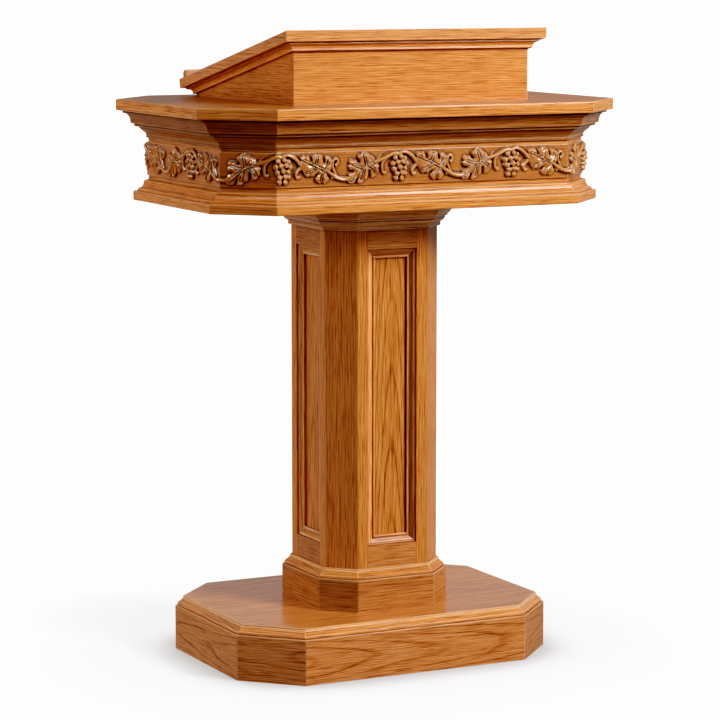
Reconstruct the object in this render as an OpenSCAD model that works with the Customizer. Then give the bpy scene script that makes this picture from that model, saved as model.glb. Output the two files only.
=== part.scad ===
// Pedestal pulpit: octagonal plinth, panelled column, desk with a carved vine frieze, slanted book rest.
// Millimetres, +Z up. The origin lies on the floor under the centre of the desk's top board.
// The front, which faces the hearers, is towards -Y; the reader stands at +Y. The two halves mirror about X = 0.

/* [Plinth] */
// Width of the plinth over its boards
base_w = 624; // [580:2:680]
// Depth of the plinth over its boards
base_d = 458; // [420:2:500]
// Leg of the plinth's cut corners
base_chamfer = 91; // [75:1:105]
// Height of the plinth boards
plinth_h = 82; // [70:1:110]
// Thickness of the moulded base board
base_board_t = 17.5; // [15:0.5:22]
// How far the base board's nose stands in from the plinth's face
base_nose_in = 3.8; // [2:0.2:6]
// How far the plinth's centre lies behind the desk's centre
base_setback = 22; // [10:1:30]

/* [Column] */
// Width and depth of the column over its faces
column_w = 226; // [204:2:250]
// Leg of the column's cut corners
column_chamfer = 43; // [36:1:50]
// Height of the column from the base board to the desk floor
column_h = 732.5; // [650:0.5:820]
// How far the column's centre lies behind the desk's centre
column_setback = 6; // [0:1:12]
// Thickness of the column, plinth, casing and box boards
board_t = 19; // [17:0.5:21]

/* [Frames and panels] */
// Face width of a stile
stile_w = 21; // [18:1:27]
// Height of the top rail below the crown moulding
top_rail_show = 35; // [24:1:60]
// Height of the bottom rail above the skirt cap
bottom_rail_show = 40; // [28:1:80]
// Depth of the panel's face below the frame's face
panel_sink = 11.4; // [9:0.2:11.6]
// Thickness of a panel
panel_t = 5; // [4:0.5:5.5]
// Depth of the groove that holds a panel
groove_depth = 6; // [5:0.5:8]
// Width of the moulding round a panel
panel_moulding_w = 17; // [12:1:20]
// Height of the moulding's inner bead over the panel
panel_bead_h = 5; // [3.6:0.2:5.2]

/* [Skirt and crown] */
// Height of the skirt boards at the column's foot
skirt_h = 59; // [45:1:80]
// Thickness of the skirt boards
skirt_t = 17; // [16:0.5:20]
// Height of the cap moulding on the skirt
skirt_cap_h = 17.5; // [15:0.5:21]
// How far the cap moulding's nose stands in from the skirt's face
skirt_nose_in = 3.6; // [2:0.2:5]
// Width of the nosing worked on the base board and the skirt cap
nosing_w = 10.8; // [8:0.2:12]
// Height of the crown's lower tier
crown_lower_h = 18; // [15:0.5:22]
// Height of the crown's upper tier
crown_upper_h = 28; // [24:0.5:34]
// Projection of the crown's lower tier at its foot
crown_lower_foot = 5.7; // [4:0.1:7.5]
// Projection of the crown's lower tier at its bead
crown_lower_out = 13.5; // [11:0.5:15]
// Projection of the crown's upper tier at its foot
crown_upper_foot = 17.6; // [16:0.2:21]
// Projection of the crown's upper tier at its fillet
crown_upper_out = 34; // [28:0.5:42]

/* [Desk] */
// Width of the desk floor board
desk_w = 766; // [700:2:840]
// Depth of the desk floor board
desk_d = 514; // [500:2:580]
// Leg of the desk floor board's cut corners
desk_chamfer = 87; // [75:1:100]
// Thickness of the desk floor board
desk_floor_t = 17.5; // [15:0.5:22]
// Height of the casing between the floor board and the top board
casing_h = 144; // [140:1:180]
// How far the frieze stands in from the floor board's edge
frieze_in = 26; // [22:0.5:30]
// How far the top board overhangs the frieze
top_out = 53.5; // [48:0.5:60]
// Thickness of the top board
top_t = 20.5; // [18:0.5:26]
// Radius of the top and floor boards' long edges
edge_r = 2.5; // [1:0.25:4]

/* [Desk mouldings] */
// Height of a moulding's wide fillets and beads
fillet_h = 4.6; // [3.6:0.2:5.6]
// Height of a moulding's narrow fillets
lip_h = 3.2; // [2.2:0.2:4]
// Height of the foot moulding on the floor board
foot_h = 20.5; // [18:0.5:23]
// Projection of the foot moulding
foot_out = 18.5; // [16:0.5:21]
// Projection of the foot moulding's upper lip
foot_lip_out = 8.5; // [6:0.5:10]
// Height of the lower cornice
cornice_lower_h = 25.5; // [22:0.5:29]
// Projection of the lower cornice at its foot
cornice_lower_foot = 4; // [3:0.2:6]
// Projection of the lower cornice at its bead
cornice_lower_out = 23.5; // [21:0.5:27]
// Width of the soffit behind the lower cornice's bead
cornice_soffit = 8; // [5:0.5:10]
// Height of the upper cornice
cornice_upper_h = 23.5; // [20:0.5:27]
// Projection of the upper cornice at its foot
cornice_upper_foot = 29.2; // [27:0.2:32]
// Projection of the upper cornice at its fillet
cornice_upper_out = 42.5; // [38:0.5:46]

/* [Carved vine] */
// Height of the carved panel
vine_h = 60; // [54:1:64]
// Thickness of the carved panel's ground
vine_t = 2.5; // [2:0.25:4]
// How many times the vine repeats round the desk
vine_repeats = 10; // [9:1:11]
// Place of the first cluster of grapes, from the front's left corner
vine_start = 12.5; // [8:0.5:30]
// Width of the stem
stem_w = 6; // [4:0.5:7]
// Height of the stem over the ground
stem_relief = 3.6; // [2.5:0.2:4.4]
// Rise of the stem's wave above and below the panel's middle
stem_swing = 21; // [16:0.5:21.5]
// Distance from a leaf's heart to the middle of its lobes
lobe_reach = 15; // [12:0.5:16]
// Width of a leaf's lobe
lobe_w = 18; // [16:0.5:19]
// Height of a leaf's lobes over the ground
leaf_relief = 5.6; // [4.8:0.2:6.6]
// Width of a leaf's raised veins
vein_w = 1.6; // [1:0.2:2.4]
// Diameter of a grape
grape_d = 10; // [8:0.2:10.6]
// Height of a grape over the ground
grape_relief = 6.4; // [5.6:0.2:7]
// Thickness of a tendril at its root
tendril_w = 4.4; // [3:0.2:5]

/* [Book rest] */
// Slope of the reading board in degrees
slope = 12; // [8:0.5:16]
// Width of the reading board
rest_w = 510; // [460:2:560]
// Length of the reading board along its slope
slant_len = 473; // [420:1:480]
// Thickness of the reading board
slant_t = 18.6; // [16:0.2:22]
// How far the reading board's high edge stands in from the top board's front edge
rest_front_in = 77.5; // [65:0.5:80]
// Height of the box at its low end
rest_low_h = 16.8; // [16:0.2:30]
// Overhang of the reading board past the box at each side
rest_side_over = 24.5; // [21:0.5:30]
// Overhang of the reading board past the box at the high edge
rest_front_over = 23.5; // [21:0.5:30]
// Overhang of the reading board past the box at the low edge
rest_low_over = 20.5; // [19:0.5:28]
// Height of the cove moulding under the reading board
cove_h = 13; // [11:0.5:14]
// Projection of the cove moulding at its foot
cove_foot = 6.3; // [4:0.1:8]
// Projection of the cove moulding at its fillet
cove_out = 15; // [13:0.5:17]
// Width of the book stop
stop_w = 15; // [12:0.5:20]
// Height of the book stop
stop_h = 11; // [8:0.5:16]
// Distance of the book stop from the low edge
stop_in = 20; // [8:0.5:30]

/* [Fixings] */
// Diameter of the tie rod
rod_d = 12; // [10:0.5:14]
// Thickness of the bearer, the cleats and the fixing blocks
block_t = 22; // [20:0.5:25]
// Length of the fixing blocks
block_len = 70; // [60:1:90]
// Length of the cleats in the book rest
cleat_len = 240; // [180:5:260]
// Width of the bearer under the base board
bearer_w = 90; // [70:2:120]
// Length of the glue blocks' faces in the plinth's corners
glue_block_w = 40; // [30:1:50]
// Height of the glue blocks
glue_block_h = 60; // [45:1:65]
// Thickness of the plates inside the column
plate_t = 18; // [15:0.5:22]
// Shank diameter of the wood screws
screw_d = 4.5; // [3.5:0.25:5]
// Length of the wood screws
screw_len = 35; // [32:0.5:36]
// Distance of the outer screws from the end of the piece they hold
screw_end = 20; // [15:1:28]
// Clearance between pieces that slide together
fit_gap = 0.3; // [0.2:0.05:0.5]
// Clearance round a screw's shank and head
screw_gap = 0.1; // [0.05:0.05:0.2]
// Glue line left open at each mitre
joint_gap = 0.2; // [0.1:0.05:0.4]

/* [Hidden] */
$fn = 48;

// Leg by which a cut corner grows for each unit of outward offset
corner_growth = 2 - sqrt(2);
// Easing on sharp moulding edges
ease = 1;
// Step of the panel moulding below the frame's face
quirk = 3.4;
// Steps in each curved stretch of a moulding
curve_steps = 8;

// Heights of the main joints above the floor
z_column = plinth_h + base_board_t;
z_floor = z_column + column_h;
z_casing = z_floor + desk_floor_t;
z_top = z_casing + casing_h;
z_desk = z_top + top_t;

// Plans as width, depth and leg of the cut corners
base_plan = [base_w, base_d, base_chamfer];
column_plan = [column_w, column_w, column_chamfer];
floor_plan = [desk_w, desk_d, desk_chamfer];
frieze_plan = grow(floor_plan, -frieze_in);
top_plan = grow(frieze_plan, top_out);

// The opening in a column face, measured from the column's foot
face_w = column_w - 2 * column_chamfer;
open_w = face_w - 2 * stile_w;
open_z0 = skirt_h + skirt_cap_h + bottom_rail_show;
open_z1 = column_h - crown_lower_h - crown_upper_h - top_rail_show;
open_h = open_z1 - open_z0;
tongue = groove_depth - fit_gap;

// The carved panel lies midway between the foot moulding and the cornice
cornice_h = cornice_lower_h + cornice_upper_h;
vine_z = z_casing + (foot_h + casing_h - cornice_h - vine_h) / 2;

// The book rest's box, its plan and the height of the reading board's high edge
box_w = rest_w - 2 * rest_side_over;
rest_y0 = -top_plan.y / 2 + rest_front_in;
box_y0 = rest_y0 + rest_front_over;
box_y1 = rest_y0 + slant_len * cos(slope) - slant_t * sin(slope) - rest_low_over;
box_d = box_y1 - box_y0;
box_y = (box_y0 + box_y1) / 2;
z_high = z_desk + rest_low_h + (box_y1 - rest_y0) * tan(slope) + slant_t / cos(slope);

// Hardware
washer_d = rod_d * 2.5;
washer_t = 2.5;
nut_h = 10;
nut_flats = rod_d * 1.6;
rod_end = 5;
screw_head_d = screw_d * 1.9;
screw_head_h = screw_d * 0.6;

// Colours
oak = [0.74, 0.45, 0.20];
oak_dark = [0.62, 0.35, 0.14];
oak_light = [0.80, 0.52, 0.26];
inner_wood = [0.80, 0.66, 0.46];
steel = [0.72, 0.72, 0.74];

// Plans and their corners

function grow(plan, o) = [plan.x + 2 * o, plan.y + 2 * o, plan.z + o * corner_growth];

// Corners of a plan offset outward by o: eight for a plan with cut corners, four for a rectangle
function corners(plan, o) =
    let (a = plan.x / 2 + o, b = plan.y / 2 + o, k = len(plan) > 2 ? plan.z + o * corner_growth : 0)
    len(plan) > 2
    ? [[k - a, -b], [a - k, -b], [a, k - b], [a, b - k], [a - k, b], [k - a, b], [-a, b - k], [-a, k - b]]
    : [[-a, -b], [a, -b], [a, b], [-a, b]];

// Angle from one side of a plan to the next
function turn(plan) = len(plan) > 2 ? 45 : 90;

// Distance from the plan's centre to one of its sides
function reach(plan, side) =
    let (p = corners(plan, 0)[side], a = turn(plan) * side)
    p.x * sin(a) - p.y * cos(a);

function lowest(points) = min([for (p = points) p.y]);
function highest(points) = max([for (p = points) p.y]);
function innermost(points) = min([for (p = points) p.x]);
function outermost(points) = max([for (p = points) p.x]);
function backwards(points) = [for (i = [len(points) - 1:-1:0]) points[i]];

// Curves of the moulding profiles, as distance out from the face and height

// Quarter round about a centre, starting at an angle
function quarter(centre, r, start) =
    [for (i = [0:4]) centre + r * [cos(start + i * 22.5), sin(start + i * 22.5)]];

// Hollow curve that leaves p level and reaches q upright
function hollow(p, q) =
    [for (i = [0:curve_steps]) let (a = 90 * i / curve_steps)
        [p.x + (q.x - p.x) * sin(a), q.y + (p.y - q.y) * cos(a)]];

// S-shaped curve that is upright at both ends
function cyma(p, q) =
    [for (i = [0:curve_steps]) let (t = i / curve_steps)
        [p.x + (q.x - p.x) * (1 - cos(180 * t)) / 2, p.y + (q.y - p.y) * t]];

// S-shaped curve that is level at both ends
function flat_cyma(p, q) = [for (c = cyma([p.y, p.x], [q.y, q.x])) [c.y, c.x]];

// Profiles, from the bottom to the top

function board_profile(t, h) = [[-t, 0], [0, 0], [0, h - ease], [-ease, h], [-t, h]];

function round_edge(t, r) = concat(quarter([-r, r], r, -90), quarter([-r, t - r], r, 0));

// Eased nose, cyma and narrow fillet
function nosing(nose, h) =
    concat(
        [[nose - ease, 0], [nose, ease]],
        cyma([nose, lip_h], [nose - nosing_w + 2 * ease, h - lip_h - ease / 2]),
        [[nose - nosing_w + ease, h - lip_h], [nose - nosing_w + ease, h - ease / 2]],
        [[nose - nosing_w + ease / 2, h]]
    );

function cap_profile() =
    concat([[0, 0]], nosing(skirt_t - skirt_nose_in, skirt_cap_h), [[0, skirt_cap_h]]);

// Lower tier of a cornice: fillet, cyma, soffit and bead
function lower_tier(foot, out, h, soffit) =
    concat(
        [[0, 0], [foot - ease / 2, 0], [foot, ease / 2], [foot, fillet_h]],
        cyma([foot - ease / 2, fillet_h + ease / 2], [out - soffit, h - fillet_h - ease]),
        [[out - ease, h - fillet_h - ease / 2], [out, h - fillet_h + ease / 2]],
        [[out, h - ease / 2], [out - ease / 2, h], [0, h]]
    );

// Upper tier of the crown: fillet, S-curve and fillet
function crown_tier(foot, out, h) =
    concat(
        [[0, 0], [foot - ease / 2, 0], [foot, ease / 2], [foot, lip_h]],
        flat_cyma([foot + ease / 2, lip_h + ease / 2], [out - ease, h - fillet_h]),
        [[out, h - fillet_h + ease / 2], [out, h], [0, h]]
    );

// Upper tier of a cornice: eased foot, hollow and fillet
function upper_tier(foot, out, h) =
    concat(
        [[0, 0], [foot - ease, 0], [foot, ease]],
        backwards(hollow([out - ease, h - fillet_h], [foot + ease / 2, lip_h])),
        [[out, h - fillet_h], [out, h], [0, h]]
    );

// Foot moulding: fillet, hollow, lip and a slope back to the frieze
function foot_profile() =
    concat(
        [[0, 0], [foot_out, 0], [foot_out, fillet_h - ease / 2], [foot_out - ease / 2, fillet_h]],
        hollow([foot_out - ease, fillet_h], [foot_lip_out, foot_h - lip_h - ease]),
        [[foot_lip_out, foot_h - lip_h + ease], [ease, foot_h], [0, foot_h]]
    );

// Panel moulding, which lies on the panel inside the frame: bead, cyma and fillet
function panel_moulding_profile() =
    let (w = panel_moulding_w, h = panel_sink - quirk, b = panel_bead_h)
    concat(
        [[0, 0], [-w, 0], [-w, b - ease], [-w + ease, b], [-w + 3 * ease, b], [-w + 3.5 * ease, b - ease]],
        flat_cyma([-w + 4 * ease, b - 1.5 * ease], [-3 * ease, h - ease / 2]),
        [[-2.5 * ease, h], [-ease / 2, h], [0, h - ease / 2]]
    );

// Cove under the reading board, from its foot up to the board; it reaches in to be scribed to the box
function cove_profile(scribe) =
    concat(
        [[-scribe, -cove_h], [cove_foot - ease / 2, -cove_h], [cove_foot, ease / 2 - cove_h]],
        backwards(hollow([cove_out - ease, -lip_h], [cove_foot, lip_h - cove_h])),
        [[cove_out, -lip_h], [cove_out, 0], [-scribe, 0]]
    );

// Place along a plan's outline where a side begins, from the front's left corner
function side_run(plan, side) = norm(corners(plan, 0)[(side + 1) % 8] - corners(plan, 0)[side]);
function side_start(plan, side) = side == 0 ? 0 : side_start(plan, side - 1) + side_run(plan, side - 1);

// Solids that follow a plan

// A profile run along one side of a plan
module run(plan, side, points) {
    rotate([0, 0, turn(plan) * side])
        translate([0, -reach(plan, side), 0])
            rotate([90, 0, -90])
                linear_extrude(2 * (plan.x + plan.y), center = true) polygon(points);
}

// The wedge of a plan that belongs to one side, between the mitres at its ends
module sector(plan, side, inner, outer, z0, z1) {
    a = corners(plan, inner);
    b = corners(plan, outer);
    next = (side + 1) % len(a);
    glue = joint_gap / 2 * [cos(turn(plan) * side), sin(turn(plan) * side)];
    translate([0, 0, z0]) linear_extrude(z1 - z0)
        polygon([a[side] + glue, a[next] - glue, b[next] - glue, b[side] + glue]);
}

// A mitred length on one side of a plan
module mitred(plan, side, points) {
    intersection() {
        run(plan, side, points);
        sector(plan, side, innermost(points) - 1, outermost(points) + 1, lowest(points) - 1, highest(points) + 1);
    }
}

module mitred_ring(plan, sides, points) {
    for (side = sides) mitred(plan, side, points);
}

// A board with the same moulded edge on its eight sides
module slab(plan, t, edge) {
    far = plan.x + plan.y;
    intersection_for (side = [0:7]) run(plan, side, concat([[-far, 0]], edge, [[-far, t]]));
}

// A plain plate of a plan's outline
module plate(plan, t) {
    linear_extrude(t) polygon(corners(plan, 0));
}

main_sides = [0, 2, 4, 6];
cut_sides = [1, 3, 5, 7];
all_sides = [0:7];

module at_column(z) {
    translate([0, column_setback, z]) children();
}

module at_base(z) {
    translate([0, base_setback, z]) children();
}

// A column face seen from outside: x runs along it, y runs into the column and z up from its foot
module at_face(side) {
    at_column(z_column) rotate([0, 0, 45 * side]) translate([0, -column_w / 2, 0]) children();
}

// Fixings

module screw() {
    cylinder(d1 = screw_head_d, d2 = screw_d, h = screw_head_h);
    cylinder(d = screw_d, h = screw_len - screw_d);
    translate([0, 0, screw_len - screw_d]) cylinder(d1 = screw_d, d2 = screw_d / 4, h = screw_d);
}

module screw_hole() {
    d = screw_d + 2 * screw_gap;
    translate([0, 0, -ease]) cylinder(d = screw_head_d + 2 * screw_gap, h = ease);
    cylinder(d1 = screw_head_d + 2 * screw_gap, d2 = d, h = screw_head_h);
    cylinder(d = d, h = screw_len + ease);
}

// Two screws at each end of the bearer
module at_bearer_screws() {
    for (x = [-1, 1], y = [-1, 1])
        translate([x * (base_w / 2 - board_t - fit_gap - screw_end), column_setback + y * (bearer_w / 2 - screw_end), plinth_h - block_t])
            children();
}

// Six blocks inside the casing under the top board; x runs along each and y runs inward from the casing
module at_top_blocks() {
    inner = grow(frieze_plan, -board_t);
    for (side = [0, 4], x = [-1, 1])
        rotate([0, 0, 45 * side])
            translate([x * (frieze_plan.x / 2 - frieze_plan.z - block_len / 2 - screw_end), -inner.y / 2, z_top - block_t])
                children();
    for (side = [2, 6])
        rotate([0, 0, 45 * side]) translate([0, -inner.x / 2, z_top - block_t]) children();
}

module at_block_screws() {
    at_top_blocks()
        for (x = [-1, 1]) translate([x * (block_len / 2 - screw_end), block_t / 2, 0]) children();
}

// The reading board's frame: origin on its underside at the high end of the box, y down the slope, z out of it
module at_slope() {
    translate([0, box_y0, z_high - slant_t / cos(slope) - (box_y0 - rest_y0) * tan(slope)])
        rotate([-slope, 0, 0]) children();
}

module at_cleats() {
    at_slope()
        for (x = [-1, 1])
            translate([x * (box_w / 2 - board_t - block_t / 2), (board_t + block_t) / cos(slope), -block_t])
                children();
}

module at_cleat_screws() {
    at_cleats()
        for (y = [screw_end, cleat_len / 2, cleat_len - screw_end]) translate([0, y, 0]) children();
}

// Plinth

module plinth_board(side) {
    color(oak) at_base(0) mitred(base_plan, side, board_profile(board_t, plinth_h));
}

module plinth_corner_boards() {
    color(oak_dark) at_base(0) mitred_ring(base_plan, cut_sides, board_profile(board_t, plinth_h));
}

// Three-cornered blocks glued inside the eight joints of the plinth
module plinth_glue_blocks() {
    inner = corners(base_plan, -board_t);
    color(inner_wood) at_base(plinth_h - glue_block_h)
        for (i = all_sides) {
            ahead = [cos(45 * i), sin(45 * i)];
            behind = [cos(45 * i - 45), sin(45 * i - 45)];
            linear_extrude(glue_block_h)
                polygon([inner[i], inner[i] + glue_block_w * ahead, inner[i] - glue_block_w * behind]);
        }
}

module base_board() {
    color(oak) difference() {
        at_base(plinth_h)
            slab(base_plan, base_board_t, nosing(-base_nose_in, base_board_t));
        rod_hole();
        at_bearer_screws() screw_hole();
    }
}

module bearer() {
    length = base_w - 2 * board_t - 2 * fit_gap;
    color(inner_wood) difference() {
        translate([-length / 2, column_setback - bearer_w / 2, plinth_h - block_t]) cube([length, bearer_w, block_t]);
        rod_hole();
        at_bearer_screws() screw_hole();
    }
}

// Column

module rod_hole() {
    at_column(0) cylinder(d = rod_d + 2 * fit_gap, h = z_top);
}

module column_plate(z) {
    color(inner_wood) difference() {
        at_column(z) plate(grow(column_plan, -board_t - fit_gap), plate_t);
        rod_hole();
    }
}

module column_corner_boards() {
    color(oak_dark) at_column(z_column)
        mitred_ring(column_plan, cut_sides, [[-board_t, 0], [0, 0], [0, column_h], [-board_t, column_h]]);
}

// A stile is mitred to the corner board outside and grooved for the panel inside
module stiles(side) {
    edge = face_w / 2 - joint_gap / 2;
    slot = [panel_sink, panel_sink + panel_t + fit_gap];
    color(oak) at_face(side)
        for (end = [0, 1]) mirror([end, 0, 0])
            linear_extrude(column_h) polygon([
                [-edge, 0], [-open_w / 2, 0],
                [-open_w / 2, slot[0]], [-open_w / 2 - groove_depth, slot[0]],
                [-open_w / 2 - groove_depth, slot[1]], [-open_w / 2, slot[1]],
                [-open_w / 2, board_t], [board_t * tan(22.5) - edge, board_t]
            ]);
}

// Rails sit between the stiles, with stub tongues in the stiles' grooves and a groove for the panel
module rails(side) {
    color(oak) at_face(side) {
        rail(0, open_z0, open_z0 - groove_depth);
        rail(open_z1, column_h - open_z1, open_z1);
    }
}

module rail(z, h, groove_z) {
    difference() {
        union() {
            translate([fit_gap / 2 - open_w / 2, 0, z]) cube([open_w - fit_gap, board_t, h]);
            translate([-open_w / 2 - tongue, panel_sink, z]) cube([open_w + 2 * tongue, panel_t, h]);
        }
        translate([-open_w, panel_sink, groove_z]) cube([2 * open_w, panel_t + fit_gap, groove_depth]);
    }
}

module panel(side) {
    color(oak_light) at_face(side)
        translate([-open_w / 2 - tongue, panel_sink, open_z0 - tongue])
            cube([open_w + 2 * tongue, panel_t, open_h + 2 * tongue]);
}

module panel_moulding(side) {
    color(oak_light) at_face(side)
        translate([0, panel_sink, (open_z0 + open_z1) / 2]) rotate([90, 0, 0])
            mitred_ring([open_w, open_h], [0:3], panel_moulding_profile());
}

module skirt_side(sides) {
    at_column(z_column)
        mitred_ring(column_plan, sides, [[0, 0], [skirt_t, 0], [skirt_t, skirt_h - ease], [skirt_t - ease, skirt_h], [0, skirt_h]]);
}

module skirt_boards() {
    color(oak) skirt_side(main_sides);
}

module skirt_corner_boards() {
    color(oak_dark) skirt_side(cut_sides);
}

module skirt_cap() {
    color(oak_light) at_column(z_column + skirt_h) mitred_ring(column_plan, all_sides, cap_profile());
}

module crown_lower() {
    color(oak) at_column(z_floor - crown_upper_h - crown_lower_h)
        mitred_ring(column_plan, all_sides, lower_tier(crown_lower_foot, crown_lower_out, crown_lower_h, ease));
}

module crown_upper() {
    color(oak_dark) at_column(z_floor - crown_upper_h)
        mitred_ring(column_plan, all_sides, crown_tier(crown_upper_foot, crown_upper_out, crown_upper_h));
}

// Tie rod

module tie_rod() {
    z0 = plinth_h - block_t - washer_t - nut_h - rod_end;
    z1 = z_casing + washer_t + nut_h + rod_end;
    color(steel) at_column(z0) cylinder(d = rod_d, h = z1 - z0);
}

// Puts a child below the bearer and on the desk floor, drawn upward from the seat
module at_rod_ends() {
    at_column(z_casing) children();
    at_column(plinth_h - block_t) mirror([0, 0, 1]) children();
}

module rod_washers() {
    color(steel) at_rod_ends() difference() {
        cylinder(d = washer_d, h = washer_t);
        translate([0, 0, -1]) cylinder(d = rod_d + 2 * fit_gap, h = washer_t + 2);
    }
}

module rod_nuts() {
    color(steel) at_rod_ends() translate([0, 0, washer_t]) difference() {
        cylinder(d = nut_flats / cos(30), h = nut_h, $fn = 6);
        translate([0, 0, -1]) cylinder(d = rod_d + 2 * screw_gap, h = nut_h + 2);
    }
}

// Desk

module desk_floor() {
    color(oak) difference() {
        translate([0, 0, z_floor]) slab(floor_plan, desk_floor_t, round_edge(desk_floor_t, edge_r));
        rod_hole();
    }
}

module casing(sides) {
    translate([0, 0, z_casing])
        mitred_ring(frieze_plan, sides, [[-board_t, 0], [0, 0], [0, casing_h], [-board_t, casing_h]]);
}

module casing_board(side) {
    color(oak) casing([side]);
}

module casing_corner_boards() {
    color(oak_dark) casing(cut_sides);
}

module foot_moulding() {
    color(oak_light) translate([0, 0, z_casing]) mitred_ring(frieze_plan, all_sides, foot_profile());
}

// The carved vine. On each board x runs to the right from its left end, y up from its foot and z out from the
// frieze, and the vine's wave runs on from board to board round the desk.

vine_pitch = side_start(frieze_plan, 8) / vine_repeats;
vine_mid = vine_h / 2;
vine_steps = 24;
vine_out = vine_t + max(leaf_relief + vein_w / 2, grape_relief, stem_relief) + 1;
crest = 6; // from a cluster's middle to the stem's crest

function wave(s) = 360 * (s - vine_start - crest) / vine_pitch;
function stem_y(s) = vine_mid + stem_swing * cos(wave(s));
function stem_slant(s) = norm([1, stem_swing * 2 * PI / vine_pitch * sin(wave(s))]);

module at_vine_board(side) {
    rotate([0, 0, 45 * side])
        translate([corners(frieze_plan, 0)[side] * [cos(45 * side), sin(45 * side)], -reach(frieze_plan, side), vine_z])
            rotate([90, 0, 0]) children();
}

// Part of a ball that stands on the ground, with its middle on this board
module bump(board, at, d, h) {
    r = h < d / 2 ? (d * d / 4 + h * h) / (2 * h) : d / 2;
    if (at.x > 0 && at.x < board) translate([at.x, at.y, vine_t + h - r]) sphere(r);
}

// The stem's wave, carried through the mitres at the board's ends
module stem(side, board) {
    start = side_start(frieze_plan, side);
    s = [for (i = [-2:ceil(board * vine_steps / vine_pitch) + 2]) start + i * vine_pitch / vine_steps];
    linear_extrude(vine_t + stem_relief) polygon(concat(
        [for (p = s) [p - start, stem_y(p) - stem_w / 2 * stem_slant(p)]],
        backwards([for (p = s) [p - start, stem_y(p) + stem_w / 2 * stem_slant(p)]])
    ));
}

// Leaf of five lobes round its heart, with a vein on each; its tip lies along the angle
module leaf(board, at, tip) {
    bump(board, at, 1.15 * lobe_w, leaf_relief - vein_w / 3);
    for (i = [-2:2]) {
        way = [cos(tip + 62 * i), sin(tip + 62 * i)];
        bump(board, at + (i == 0 ? 1.2 : 1) * lobe_reach * way, lobe_w - 1.2 * abs(i), leaf_relief);
        if (at.x > lobe_reach && at.x < board - lobe_reach)
            translate([at.x, at.y, 0]) rotate(tip + 62 * i) translate([0, -vein_w / 2, 0])
                cube([1.1 * lobe_reach, vein_w, vine_t + leaf_relief + vein_w / 2]);
    }
}

// Cluster of grapes in rows of three, four, three, three and two
module cluster(board, at) {
    rows = [3, 4, 3, 3, 2];
    for (row = [0:4]) for (i = [0:rows[row] - 1])
        bump(board, at + grape_d * [0.9 * (i - (rows[row] - 1) / 2), 0.86 * (2 - row)], grape_d,
             grape_relief - 0.3 * abs(row - 2));
}

// Arc of a tendril, which thins towards its end and may close with a round tip
module tendril(board, at, r, from, to, w0, w1, tip) {
    if (at.x > r && at.x < board - r) {
        a = [for (i = [0:8]) [from + (to - from) * i / 8, w0 + (w1 - w0) * i / 8]];
        translate([at.x, at.y, 0]) linear_extrude(vine_t + 0.8 * stem_relief) polygon(concat(
            [for (p = a) (r + p.y / 2) * [cos(p.x), sin(p.x)]],
            backwards([for (p = a) (r - p.y / 2) * [cos(p.x), sin(p.x)]])
        ));
        if (tip) bump(board, at + r * [cos(to), sin(to)], 1.4 * tendril_w, stem_relief + 0.6);
    }
}

module vine_side(side) {
    board = side_run(frieze_plan, side);
    start = side_start(frieze_plan, side);
    first = floor((start - vine_start) / vine_pitch) - 1;
    last = ceil((start + board - vine_start) / vine_pitch);
    intersection() {
        at_vine_board(side) union() {
            translate([-board, 0, 0]) cube([3 * board, vine_h, vine_t]);
            stem(side, board);
            for (n = [first:last]) {
                s = vine_start + n * vine_pitch - start;
                cluster(board, [s, vine_mid - 1]);
                leaf(board, [s + 0.285 * vine_pitch, vine_mid + 1], 160);
                leaf(board, [s + 0.69 * vine_pitch, vine_mid], 215);
                tendril(board, [s - 0.1 * vine_pitch, vine_mid + 3], 11.5, 100, 250, tendril_w, tendril_w / 2, true);
                tendril(board, [s + 0.163 * vine_pitch, vine_mid - 6.5], 9.5, 80, 225, tendril_w, tendril_w / 2, true);
                tendril(board, [s + 0.568 * vine_pitch, vine_mid + 6], 27, 225, 170, tendril_w, 0.8 * tendril_w, false);
                tendril(board, [s + 0.47 * vine_pitch, vine_mid + 10.5], 5.5, 190, -60, 0.8 * tendril_w, tendril_w / 2, true);
            }
        }
        sector(frieze_plan, side, -1, vine_out, vine_z, vine_z + vine_h);
        at_vine_board(side) translate([-board, -1, 0]) cube([3 * board, vine_h + 2, vine_out + 1]);
    }
}

module vine(sides) {
    color(oak) for (side = sides) vine_side(side);
}

module lower_cornice() {
    color(oak_light) translate([0, 0, z_top - cornice_h])
        mitred_ring(frieze_plan, all_sides, lower_tier(cornice_lower_foot, cornice_lower_out, cornice_lower_h, cornice_soffit));
}

module upper_cornice() {
    color(oak) translate([0, 0, z_top - cornice_upper_h])
        mitred_ring(frieze_plan, all_sides, upper_tier(cornice_upper_foot, cornice_upper_out, cornice_upper_h));
}

module top_board() {
    color(oak) difference() {
        translate([0, 0, z_top]) slab(top_plan, top_t, round_edge(top_t, edge_r));
        at_block_screws() screw_hole();
    }
}

module top_blocks() {
    color(inner_wood) difference() {
        at_top_blocks() translate([-block_len / 2, 0, 0]) cube([block_len, block_t, block_t]);
        at_block_screws() screw_hole();
    }
}

module wood_screws() {
    color(steel) {
        at_bearer_screws() screw();
        at_block_screws() screw();
        at_cleat_screws() screw();
    }
}

// Book rest

// The space under the reading board, as wide as its box or wider
module under_slope(w) {
    y0 = box_y0 - ease;
    y1 = box_y1 + ease;
    high = z_high - slant_t / cos(slope);
    rotate([90, 0, 90]) linear_extrude(w, center = true) polygon([
        [y0, z_desk], [y1, z_desk],
        [y1, high - (y1 - rest_y0) * tan(slope)], [y0, high - (y0 - rest_y0) * tan(slope)]
    ]);
}

module box_side(sides) {
    h = z_high - z_desk;
    intersection() {
        translate([0, box_y, z_desk])
            mitred_ring([box_w, box_d], sides, [[-board_t, 0], [0, 0], [0, h], [-board_t, h]]);
        under_slope(box_w + 2 * ease);
    }
}

module rest_front() {
    color(oak) box_side([0]);
}

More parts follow.
